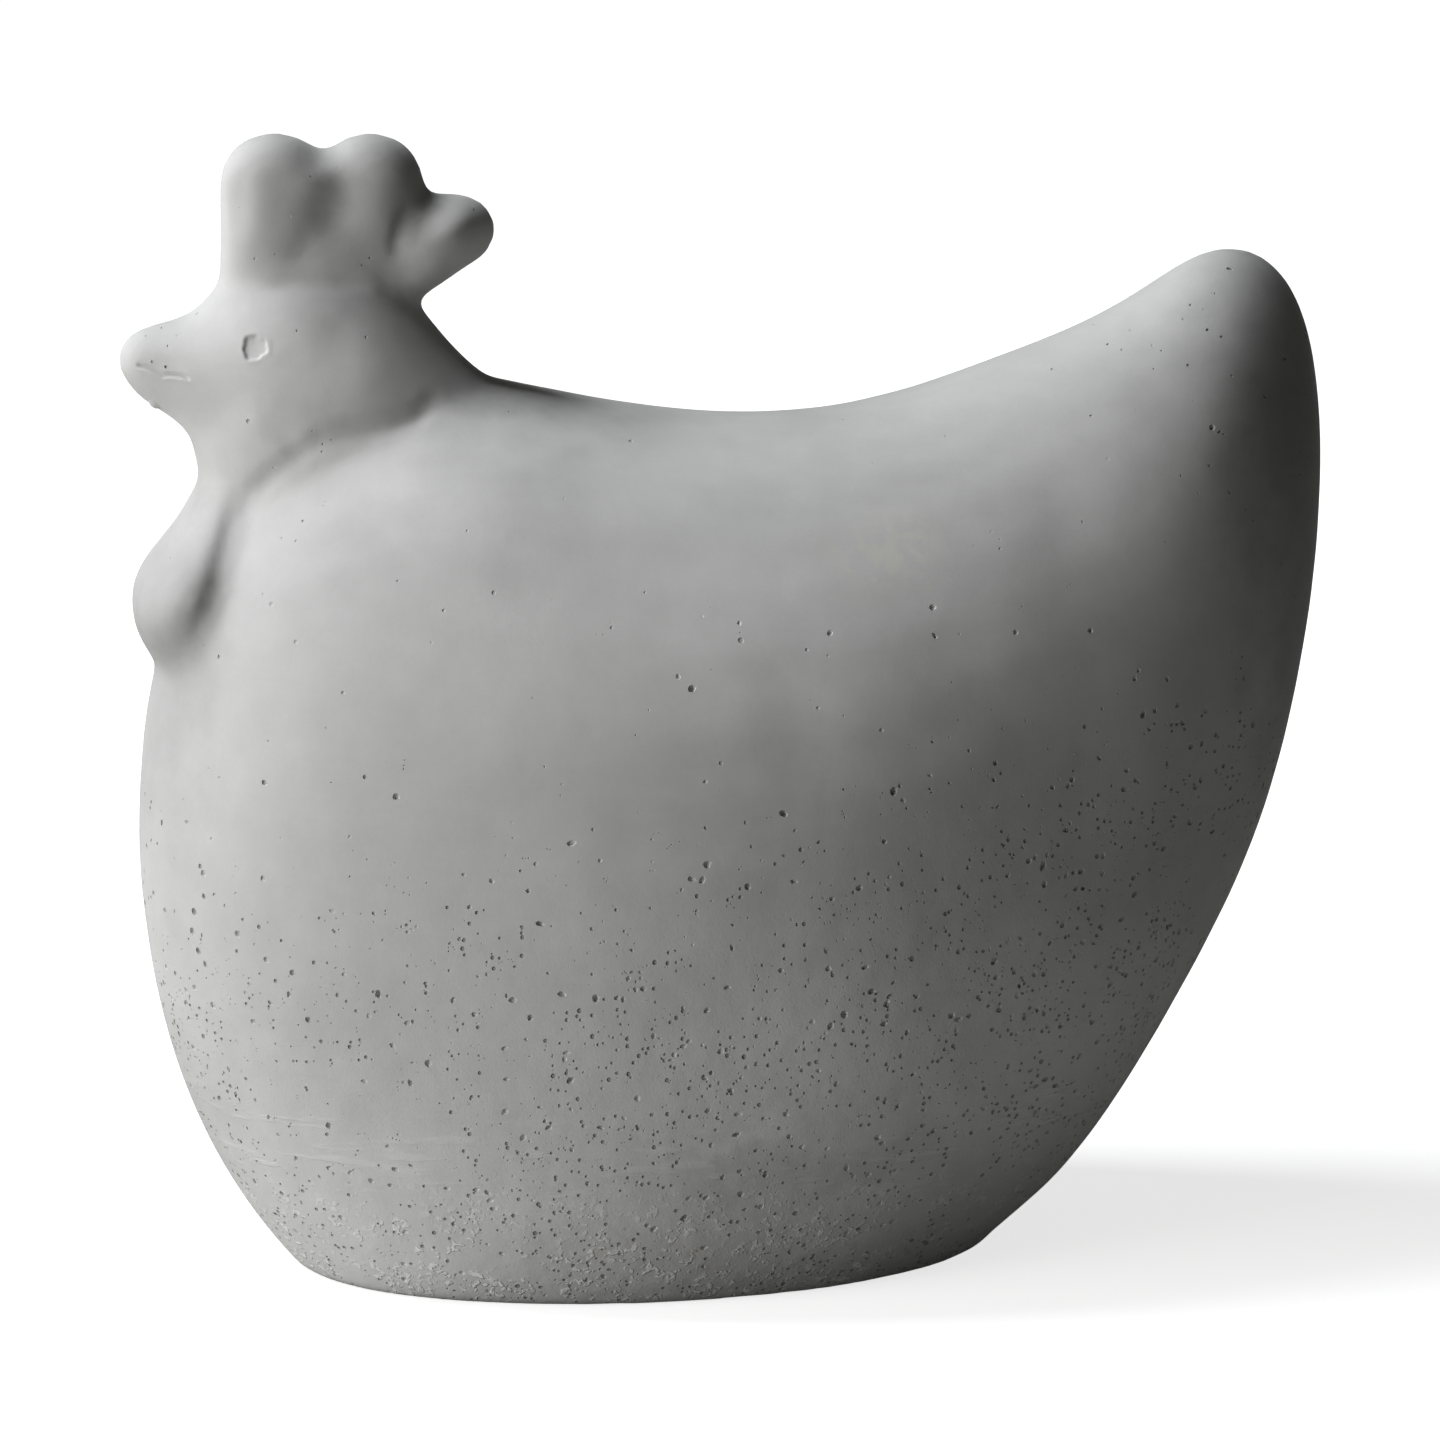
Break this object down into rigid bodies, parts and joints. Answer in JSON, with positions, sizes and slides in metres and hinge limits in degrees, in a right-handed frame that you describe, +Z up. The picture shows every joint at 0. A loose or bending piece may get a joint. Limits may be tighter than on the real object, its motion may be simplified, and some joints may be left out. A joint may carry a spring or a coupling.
{
  "type": "hen figurine",
  "caption": "Stylised sitting hen cast in one piece of grey concrete, with a lobed comb, a wattle, a raised tail and a flat foot to stand on.",
  "frame": {"origin": "centre of the figurine's length and width, on the ground plane she stands on", "axes": "+X towards the tail (the hen faces -X), +Y towards her right side, +Z up"},
  "size_m": [0.2523, 0.134, 0.2401],
  "materials": {
    "concrete": "fine grey cast concrete, matt, with pinholes that grow denser towards the foot"
  },
  "bodies": {
    "root": {"hen": "concrete"}
  },
  "joints": []
}
